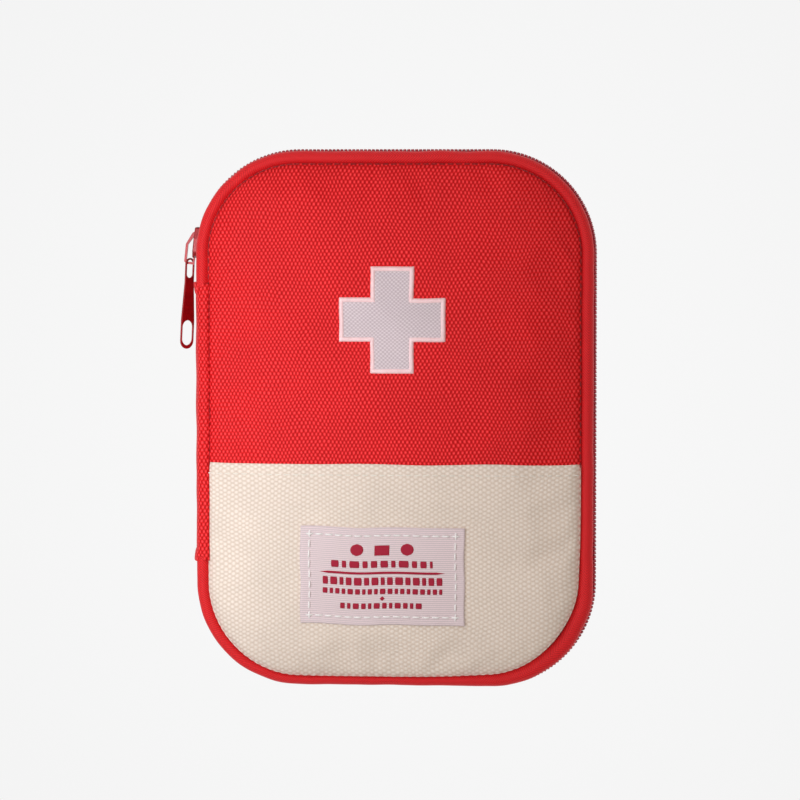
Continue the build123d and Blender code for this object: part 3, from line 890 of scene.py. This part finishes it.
def cross(ground):
    low, high = box_mm("cross_border")
    size, centre = high[0] - low[0], ((low[0] + high[0]) / 2, (low[1] + high[1]) / 2)
    arm = size * CROSS_ARM_SHARE
    edges = np.array([-size / 2, -arm / 2, arm / 2, size / 2])
    lines = np.unique(np.concatenate([np.linspace(a, b, 14) for a, b in zip(edges[:-1], edges[1:])]))
    y, x = crossed(lines, lines)
    faces = grid_faces(len(lines), len(lines))
    flat = np.stack([x.ravel(), y.ravel()], 1)
    middles = flat[faces].mean(1)
    keep = np.min(np.abs(middles), axis=1) < arm / 2
    laid = ground.lay(uneven(flat * ((size - BORDER_W) / size) + centre), 0.55)
    made = piece("cross_cloth", laid, faces[keep], "patch", "cover", flat)
    delete_loose(made)
    add_thickness(made, CROSS_T)
    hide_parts("cross_patch")
    corners = cross_corners(size - BORDER_W, arm - BORDER_W * 0.2, centre)
    path, run = rounded_path(corners, BORDER_TURN_R, BORDER_STEP)
    border = satin_edge("cross_edge", path, run, BORDER_W, ground, "patch_border")
    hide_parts("cross_border")


def delete_loose(made):
    """Deletes the points that no face uses."""
    mesh = made.data
    used = np.zeros(len(mesh.vertices), bool)
    used[[i for p in mesh.polygons for i in p.vertices]] = True
    work = bmesh.new()
    work.from_mesh(mesh)
    bmesh.ops.delete(work, geom=[v for v in work.verts if not used[v.index]], context="VERTS")
    work.to_mesh(mesh)
    work.free()


def mitred(tangent, half, across):
    """How much further the border reaches on the outside of a turn, so that its corners are square."""
    along, aside = np.sort(np.abs(tangent), axis=1)[:, ::-1].T
    share = aside / (along + aside)
    longer = (half + BORDER_TURN_R * share ** 2) / (half * along)
    before, after = np.roll(tangent, 3, 0), np.roll(tangent, -3, 0)
    bend = before[:, 0] * after[:, 1] - before[:, 1] * after[:, 0]
    outside = np.sign(across)[None, :] * np.sign(bend)[:, None] > 0
    return np.where(outside, longer[:, None], 1.0)


def satin_edge(name, path, run, band, ground, material):
    """A raised edge of close threads laid across the path."""
    tangent = np.roll(path, -1, 0) - np.roll(path, 1, 0)
    tangent /= np.linalg.norm(tangent, axis=1, keepdims=True)
    side = np.stack([tangent[:, 1], -tangent[:, 0]], 1)
    across = np.array([-0.56, -0.5, -0.3, 0.0, 0.3, 0.5, 0.56]) * band
    lift = np.array([0.02, 0.42, 0.82, 0.95, 0.82, 0.42, 0.02])
    ragged = 1 + 0.07 * wobble(run * 9.0, run * 0, 3.0, 5.0)
    ribs = 0.085 * np.cos(TAU * run / 0.46)
    reach = across[None, :] * ragged[:, None] * mitred(tangent, band / 2, across)
    xy = path[:, None, :] + side[:, None, :] * reach[..., None]
    laid = ground.lay(uneven(xy), 0.0)
    laid[..., 2] += lift[None, :] + ribs[:, None] * (lift[None, :] > 0.1)
    uv = np.stack([np.repeat(run[:, None], len(across), 1), np.repeat(across[None, :], len(run), 0)], -1)
    return grid_piece(name, laid, material, "cover", uv, loop_rows=True)


def label_frame():
    low, high = box_mm("label")
    turn = math.radians(LABEL_TURN)
    spin = np.array([[math.cos(turn), -math.sin(turn)], [math.sin(turn), math.cos(turn)]])
    return (low + high)[:2] / 2, spin


def label_lift(xy):
    """The label is sewn down at its stitches and a little loose outside them."""
    out_x, out_y = (np.abs(xy[..., 0]) - 24.0) / 3.5, (np.abs(xy[..., 1]) - 14.0) / 3.0
    loose = np.clip(out_x, 0, 1) + np.clip(out_y, 0, 1)
    return 0.32 + 0.3 * loose * (0.6 + wobble(xy[..., 0], xy[..., 1], 7.0, 61.0))


def on_label(ground, xy, lift=0.0):
    """Points of the label's own plane, laid on the canvas."""
    xy = np.asarray(xy, float)
    centre, spin = label_frame()
    x, y = xy[..., 0], xy[..., 1]
    bow = np.stack([wobble(y, 0.0, 14.0, 71.0), wobble(x, 0.0, 16.0, 73.0)], -1) * 0.5
    laid = ground.lay((xy + bow) @ spin.T + centre, 0.0)
    laid[..., 2] += label_lift(xy) + lift
    return laid


def label(ground):
    half_x, half_y = LABEL_HALF
    yy, xx = crossed(np.linspace(-half_y, half_y, 58), np.linspace(-half_x, half_x, 90))
    flat = np.stack([xx, yy], -1)
    made = grid_piece("label_cloth", on_label(ground, flat), "label", "cover", flat)
    add_thickness(made, LABEL_T)
    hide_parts("label")
    label_stitches(ground, half_x - LABEL_STITCH_INSET[0], half_y - LABEL_STITCH_INSET[1])
    label_marks(ground)


def label_stitches(ground, half_x, half_y):
    spin = label_frame()[1]
    places = []
    for run, off, turned in ((half_x, half_y, False), (half_y, half_x, True)):
        count = int(2 * run / LABEL_STITCH_PITCH)
        heading = spin @ (np.array([0, 1.0]) if turned else np.array([1.0, 0]))
        for side in (-1, 1):
            for index in range(count + 1):
                along = (index - count / 2) * 2 * run / count
                at = (side * off, along) if turned else (along, side * off)
                places.append((on_label(ground, [at], 0.14)[0], (*heading, 0), (0, 0, 1)))
    made = thread_mesh("label_thread", places, LABEL_STITCH, "thread_white", "cover")
    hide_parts("label_stitches")


def mark_block(points, faces, ground, x0, x1, y0, y1, radius):
    """Adds a small woven block on the label to the points and faces."""
    columns = max(2, int((x1 - x0) / MARK_STEP) + 1)
    rows = max(3, int((y1 - y0) / MARK_STEP) + 1)
    yy, xx = crossed(np.linspace(y0, y1, rows), np.linspace(x0, x1, columns))
    if radius:
        t = (yy - y0) / (y1 - y0) * 2 - 1
        middle = (x0 + x1) / 2
        xx = middle + (xx - middle) * np.sqrt(np.clip(1 - t ** 2 * radius, 0.02, 1))
    start = len(points)
    points += on_label(ground, np.stack([xx, yy], -1), 0.05).reshape(-1, 3).tolist()
    faces += (grid_faces(rows, columns) + start).tolist()


# Rows of woven marks: the row's middle, height and half length, the gap, and the widths in turn.
MARK_ROWS = (
    (4.0, 2.3, 17.0, 1.0, (2.6, 1.5, 3.4, 1.8, 2.2)),
    (1.1, 0.8, 21.0, 0.0, (42.0,)),
    (-1.7, 2.6, 20.0, 0.7, (1.8, 2.4, 1.4, 2.0, 2.7)),
    (-5.1, 1.8, 20.0, 0.65, (1.7, 1.2, 1.5, 1.3, 1.9)),
    (-9.9, 1.9, 14.0, 0.7, (1.6, 1.2, 2.1)),
)


def label_marks(ground):
    """Plain woven blocks and bars, in rows. They spell nothing."""
    points, faces = [], []
    for centre, width, height, radius in ((-8.4, 4.4, 4.0, 1.0), (0.0, 5.0, 3.4, 0.0), (8.4, 4.4, 4.0, 1.0)):
        mark_block(points, faces, ground, centre - width / 2, centre + width / 2, 6.9, 6.9 + height, radius)
    for middle, height, half, gap, widths in MARK_ROWS:
        x, index = -half, 0
        while x < half - 0.4:
            width = min(widths[index % len(widths)], half - x)
            mark_block(points, faces, ground, x, x + width, middle - height / 2, middle + height / 2, 0.25)
            x += width + gap
            index += 1
    mark_block(points, faces, ground, -0.9, 0.9, -8.2, -6.8, 1.0)
    made = piece("label_marks", points, faces, "label_mark", "cover")
    add_thickness(made, MARK_T)


def split_stitches(ground):
    """A row of stitches under the cream canvas's folded edge."""
    half = HALF_W - SEAM_INSET - 1.5
    y = SPLIT_Y - SPLIT_STITCH_DOWN
    places = [
        ((x, y, ground.height(x, y) + 0.02), (1, 0, 0), (0, 0, 1))
        for x in np.arange(-half, half, SPLIT_STITCH_PITCH)
    ]
    thread_mesh("split_thread", places, SPLIT_STITCH, "thread_cream", "cover")


# ---- inside

def lining_height(x, y):
    """A lining's sag between its edges."""
    inwards = np.clip(seam_distance(x, y, LINING_INSET), 0, None)
    return 0.25 * wobble(x, y, 13.0, 81.0) * np.clip(inwards / 7.0, 0, 1)


def linings():
    inset = LINING_INSET + 0.3
    half_x, half_y = HALF_W - inset, HALF_H - inset
    for body, half, out in HALVES[::-1]:
        side, face = -out, CEILING_Z if out > 0 else FLOOR_Z
        y, x = crossed(np.linspace(-half_y, half_y, 80), np.linspace(-half_x, half_x, 60))
        x, y = to_outline(x, y, inset)
        z = face - side * 0.3 + side * np.clip(lining_height(x, y), -0.2, 0.25)
        points = np.stack([x, y, z], -1)
        made = grid_piece(f"lining_{body}", points, "lining", body, points[..., :2], flip=side < 0)
        add_thickness(made, LINING_T)
        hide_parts(f"{half}_lining")


def pocket_points(node, side, face, swell_at, swell_by):
    """The pocket's cloth: up from its sewn edge and over what it holds, open along its top."""
    low, high = box_mm(node)
    inset = HALF_W - high[0]
    depth = high[2] - low[2]
    y, x = crossed(np.linspace(low[1], high[1], 64), np.linspace(-1, 1, 80) * high[0])
    x, y = to_outline(x, y, inset)
    edge = np.clip(seam_distance(x, y, inset), 0, None)
    rise = depth * (1 - np.clip(1 - edge / 4.5, 0, 1) ** 3)
    rise *= 0.93 + 0.03 * wobble(x, y, 16.0, 91.0)
    z = rise - 0.35 * np.clip(np.abs(wobble(x, y, 8.0, 93.0)), 0, 1)
    for (at_x, at_y), (half_x, half_y) in swell_at:
        bump = np.exp(-(((x - at_x) / half_x) ** 4 + ((y - at_y) / half_y) ** 4))
        z += swell_by * bump * np.clip(edge / 5.0, 0, 1)
    z = np.clip(z, 0.05, depth + 0.3)
    return np.stack([x, y, face + side * z], -1)


def slip_pocket():
    points = pocket_points("slip_pocket", 1, FLOOR_Z, (((-27, -45), (24, 23)), ((24, -48), (22, 26))), 0.35)
    made = grid_piece("slip_pocket_cloth", points, "lining", "back", points[..., :2])
    add_thickness(made, POCKET_T)
    hem = pocket_hem("slip_hem", points, "back", 1)
    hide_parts("slip_pocket")
    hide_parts("slip_pocket_hem")


def pocket_hem(name, points, body, side):
    """Ribbed tape folded over a pocket's top edge."""
    over, lip, back = points[-6:].copy(), points[-1:].copy(), points[-2:-1].copy()
    over[..., 2] += side * 0.32
    lip[..., 1] += 0.5
    back[..., 2] -= side * 0.45
    grid = np.concatenate([over, lip, back])
    made = grid_piece(name, grid, "binding", body, grid[..., :2], flip=side < 0)
    add_thickness(made, HEM_T)
    return made


def between(points, v, u):
    """Points of a grid at a share of its rows and columns."""
    rows, columns = points.shape[:2]
    r, c = v * (rows - 1), u * (columns - 1)
    r0 = np.minimum(r.astype(int), rows - 2)
    c0 = np.minimum(c.astype(int), columns - 2)
    fr, fc = (r - r0)[..., None], (c - c0)[..., None]
    top = points[r0, c0] * (1 - fc) + points[r0, c0 + 1] * fc
    low = points[r0 + 1, c0] * (1 - fc) + points[r0 + 1, c0 + 1] * fc
    return top * (1 - fr) + low * fr


def mesh_pocket():
    """A net pocket on the cover: strands with open holes between them."""
    points = pocket_points("mesh_pocket", -1, CEILING_Z, (((-26, -36), (11, 36)),), 0.25)
    up, across = NET_CELLS
    v, u = crossed(np.arange(up + 1) / up, np.arange(across + 1) / across)
    u = u + np.where(np.arange(up + 1)[:, None] % 2, 0.5 / across, 0.0)
    knots = between(points, np.clip(v, 0, 1), np.clip(u, 0, 1)).reshape(-1, 3)
    faces = []
    for r in range(up):
        for c in range(across):
            a, b = r * (across + 1) + c, (r + 1) * (across + 1) + c
            if r % 2:
                faces += [(a, b + 1, b), (a, a + 1, b + 1)]
            else:
                faces += [(a, a + 1, b), (a + 1, b + 1, b)]
    made = piece("net_pocket", knots, faces, "mesh", "cover", knots[:, :2])
    strands = made.modifiers.new("Strands", "WIREFRAME")
    strands.thickness = NET_STRAND * MM
    strands.use_boundary = True
    hem = pocket_hem("net_hem", points, "cover", -1)
    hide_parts("mesh_pocket")
    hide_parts("mesh_pocket_hem")


# ---- supplies

def bandage_roll(side):
    """A crepe bandage: a spiral that shows at the ends, ribbed along its outside."""
    node = f"bandage_roll_{side}"
    low, high = box_mm(node)
    centre, half = (low + high) / 2, (high - low) / 2
    per_turn = 36
    count = ROLL_TURNS * per_turn
    angle = np.linspace(0, TAU * ROLL_TURNS, count) + (0.4 if side == "left" else 2.1)
    share = np.linspace(0.16, 1.0, count)
    ys = np.array([-1.0, -0.985, -0.5, 0.0, 0.5, 0.985, 1.0])
    wear = 1 + 0.01 * wobble(angle, 0.0, 1.7, 101.0)
    ragged = 1 + 0.014 * wobble(angle, 0.0, 0.8, 103.0)
    points = np.zeros((count, len(ys), 3))
    points[..., 0] = centre[0] + (half[0] - 0.2) * (share * wear * np.cos(angle))[:, None]
    points[..., 2] = centre[2] + (half[2] - 0.2) * (share * wear * np.sin(angle))[:, None]
    points[..., 1] = centre[1] + half[1] * 0.985 * ys[None, :] * ragged[:, None]
    run = np.cumsum(np.full(count, TAU * 8 / per_turn))
    uv = np.stack([np.repeat(run[:, None], len(ys), 1), points[..., 1]], -1)
    made = grid_piece(f"crepe_{side}", points, "gauze", "back", uv)
    add_thickness(made, ROLL_LAYER_T, offset=0)
    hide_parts(node)


def packet(name, centre, size, material, body, side, tilt):
    """A flat packet, with crimped ends and a little swelling over what is in it."""
    half_x, half_y = size[0] / 2, size[1] / 2
    yy, xx = crossed(np.linspace(-half_y, half_y, 56), np.linspace(-half_x, half_x, 36))
    edge = np.minimum(half_y - np.abs(yy), half_x - np.abs(xx))
    fat = np.clip((edge - PACKET_CRIMP) / 5.0, 0, 1)
    fat = fat * fat * (3 - 2 * fat) * PACKET_PUFF * (1 + 0.35 * wobble(xx, yy, 12.0, centre[0] + centre[2]))
    teeth = 0.05 * np.cos(TAU * yy / 0.9) * (edge < PACKET_CRIMP)
    turn = math.radians(tilt)
    x = centre[0] + xx * math.cos(turn) - yy * math.sin(turn)
    y = centre[1] + xx * math.sin(turn) + yy * math.cos(turn)
    top = size[2] * 0.3 + fat * size[2] * 0.6 + teeth
    upper = np.stack([x, y, centre[2] + side * top], -1)
    lower = np.stack([x, y, np.full_like(x, centre[2])], -1)
    rows, columns = x.shape
    count = rows * columns
    rim = [r * columns for r in range(rows)] + [(rows - 1) * columns + c for c in range(1, columns)]
    rim += [r * columns + columns - 1 for r in range(rows - 2, -1, -1)] + list(range(columns - 2, 0, -1))
    sides = [(a, b, b + count, a + count) for a, b in zip(rim, rim[1:] + rim[:1])]
    faces = grid_faces(rows, columns, flip=side < 0).tolist()
    faces += (grid_faces(rows, columns, flip=side > 0) + count).tolist()
    faces += [face if side < 0 else face[::-1] for face in sides]
    points = np.concatenate([upper.reshape(-1, 3), lower.reshape(-1, 3)])
    return piece(name, points, faces, material, body), upper


def printed_bars(name, upper, side, material, body, share_rows):
    """Plain coloured bars on a packet."""
    points, faces = [], []
    rows, columns = upper.shape[:2]
    c0, c1 = int(columns * (0.5 - BARS_SHARE / 2)), int(columns * (0.5 + BARS_SHARE / 2))
    for low, high in share_rows:
        patch = upper[int(rows * low):int(rows * high), c0:c1].copy()
        patch[..., 2] += side * 0.06
        faces += (grid_faces(*patch.shape[:2], flip=side < 0) + len(points)).tolist()
        points += patch.reshape(-1, 3).tolist()
    return piece(name, points, faces, material, body)


# Each pile of packets: its node, its pieces' name and number, looks, mark, slot, body, size and bars.
PILES = (
    ("gauze_pads", "gauze_packet", 2, "paper", "paper_mark", "pad_paper", "back", (46, 44),
     ((0.12, 0.24), (0.7, 0.74), (0.8, 0.84))),
    ("antiseptic_wipes", "wipe_sachet", 3, "sachet", "sachet_mark", "sachet", "back", (42, 50),
     ((0.2, 0.34), (0.62, 0.66))),
    ("plasters", "plaster_strip", 4, "plaster_paper", "plaster_mark", "plaster_paper", "cover", (19, 66),
     ((0.34, 0.66),)),
)


def flat_supplies():
    """Packets in the two pockets, one on another, each where its solid is."""
    for node, stem, count, material, mark, slot, body, size, bars in PILES:
        side = 1 if body == "back" else -1
        low, high = box_mm(node)
        step_y = ((high[1] - low[1]) - size[1]) / (count - 1)
        thick = (high[2] - low[2]) / count
        for index in range(count):
            start = low[2] + index * thick if side > 0 else high[2] - index * thick
            centre = ((low[0] + high[0]) / 2, low[1] + size[1] / 2 + index * step_y, start)
            tilt = (-1) ** index * 0.6
            name = f"{stem}_{index + 1}"
            made, upper = packet(name, centre, (*size, thick * 0.95), material, body, side, tilt)
            printed = printed_bars(f"{name}_bars", upper, side, mark, body, bars)
            if index == 0:
                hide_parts(node)


# ---- studio


def studio_floor():
    """A plain pale floor that glows a little less away from the pouch."""
    tree, shader = new_material("floor", roughness=1.0, specular=0.0)
    at = add_node(tree, "ShaderNodeTexCoord").outputs["Object"]
    away = vector_maths(tree, "LENGTH", {0: at}, "Value")
    shader.inputs["Base Color"].default_value = (0.0, 0.0, 0.0, 1)
    shader.inputs["Emission Color"].default_value = (1, 1, 1, 1)
    tree.links.new(maths(tree, "MULTIPLY_ADD", away, -0.24, 0.95), shader.inputs["Emission Strength"])
    signs = ((-1, -1), (1, -1), (1, 1), (-1, 1))
    corners = [(x * FLOOR_HALF, y * FLOOR_HALF, -FLOOR_DROP) for x, y in signs]
    piece("floor", corners, [(0, 1, 2, 3)], "floor", None)


def add_lamp(kind, name, at, aim, power, colour):
    light = bpy.data.lights.new(name, kind)
    light.energy = power
    light.color = colour
    lamp = bpy.data.objects.new(name, light)
    bpy.context.scene.collection.objects.link(lamp)
    lamp.location = Vector(at) * MM
    lamp.rotation_euler = (Vector(aim) - Vector(at)).to_track_quat("-Z", "Y").to_euler()
    return lamp


def lamps():
    """A long soft light from the left, a broad one from above, and a pool of light on the spine's side."""
    for name, at, width, height, power, colour in (
        ("key", (-150, 20, 240), 680, 110, 0.53, (0.95, 1.0, 1.07)),
        ("fill", (160, 60, 800), 700, 500, 1.1, (1.0, 0.97, 0.92)),
    ):
        lamp = add_lamp("AREA", name, at, (0, 0, MID_Z), power, colour)
        lamp.visible_camera = False
        lamp.data.shape = "RECTANGLE"
        lamp.data.size, lamp.data.size_y = width * MM, height * MM
    pool = add_lamp("SPOT", "pool", (-190, 0, 470), (-84, 6, MID_Z), 2.5, (0.96, 1.0, 1.05)).data
    pool.spot_size, pool.spot_blend = math.radians(29), 1.0
    pool.shadow_soft_size = 30 * MM


def camera():
    """A long lens over the pouch, a little off straight down."""
    data = bpy.data.cameras.new("camera")
    made = bpy.data.objects.new("camera", data)
    bpy.context.scene.collection.objects.link(made)
    bpy.context.scene.camera = made
    data.sensor_width = SENSOR_WIDTH
    data.lens = SENSOR_WIDTH * CAMERA_DISTANCE / SHOWN_WIDTH
    target = Vector((*CAMERA_TARGET, MID_Z))
    back = Vector((*(math.tan(math.radians(angle)) for angle in CAMERA_TURNS), 1)).normalized()
    right = Vector((0, 1, 0)).cross(back).normalized()
    turn = Matrix((right, back.cross(right), back)).transposed().to_4x4()
    made.matrix_world = Matrix.Translation((target + back * CAMERA_DISTANCE) * MM) @ turn
    data.clip_start, data.clip_end = 0.05, 20.0


def studio():
    scene = bpy.context.scene
    scene.view_settings.view_transform = "Standard"
    studio_floor()
    scene.world = bpy.data.worlds.new("world")
    scene.world.use_nodes = True
    background = scene.world.node_tree.nodes["Background"]
    background.inputs[0].default_value = WORLD_COLOUR
    background.inputs[1].default_value = WORLD_STRENGTH
    lamps()
    camera()


surface, red, cream = front_panels()
back_panel(surface)
bpy.context.view_layer.update()
ground = Ground(red, cream)
seam_stitches(ground)
split_stitches(ground)
zip_tapes()
zip_coils()
for node, bevel in (("slider_body", 0.16), ("slider_bail", 0.22), ("pull_tab", 0.22)):
    restyle(node, "red_metal", bevel)
spine()
cross(ground)
label(ground)
bindings()
linings()
slip_pocket()
mesh_pocket()
bandage_roll("left")
bandage_roll("right")
flat_supplies()
for node, material, bevel in (
    ("elastic_band", "elastic", 0.25), ("adhesive_tape", "cloth_tape", 0.3), ("tape_core", "core", 0.2),
    ("tweezers", "steel", 0.15),
):
    restyle(node, material, bevel)
studio()
